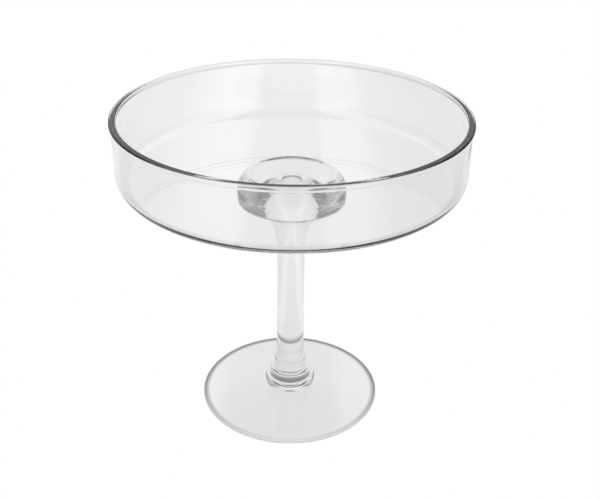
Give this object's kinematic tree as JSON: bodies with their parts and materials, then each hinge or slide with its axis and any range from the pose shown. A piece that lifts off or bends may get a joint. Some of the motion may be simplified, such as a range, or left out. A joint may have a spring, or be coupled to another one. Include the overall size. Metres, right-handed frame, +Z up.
{
  "type": "trifle bowl",
  "caption": "Footed trifle bowl of clear glass: a wide, low, straight-sided drum on a solid stem with a flared top, and a round sloping foot.",
  "frame": {"origin": "middle of the ring that the foot rests on", "axes": "+Z up along the stem, from the foot to the rim; the bowl is round, so +X and +Y are free"},
  "size_m": [0.24, 0.24, 0.2261],
  "materials": {
    "clear_glass": "clear, fire-polished hand-worked glass"
  },
  "bodies": {
    "root": {"bowl": "clear_glass", "bowl_button": "clear_glass", "stem": "clear_glass", "foot_boss": "clear_glass", "foot": "clear_glass"}
  },
  "joints": []
}
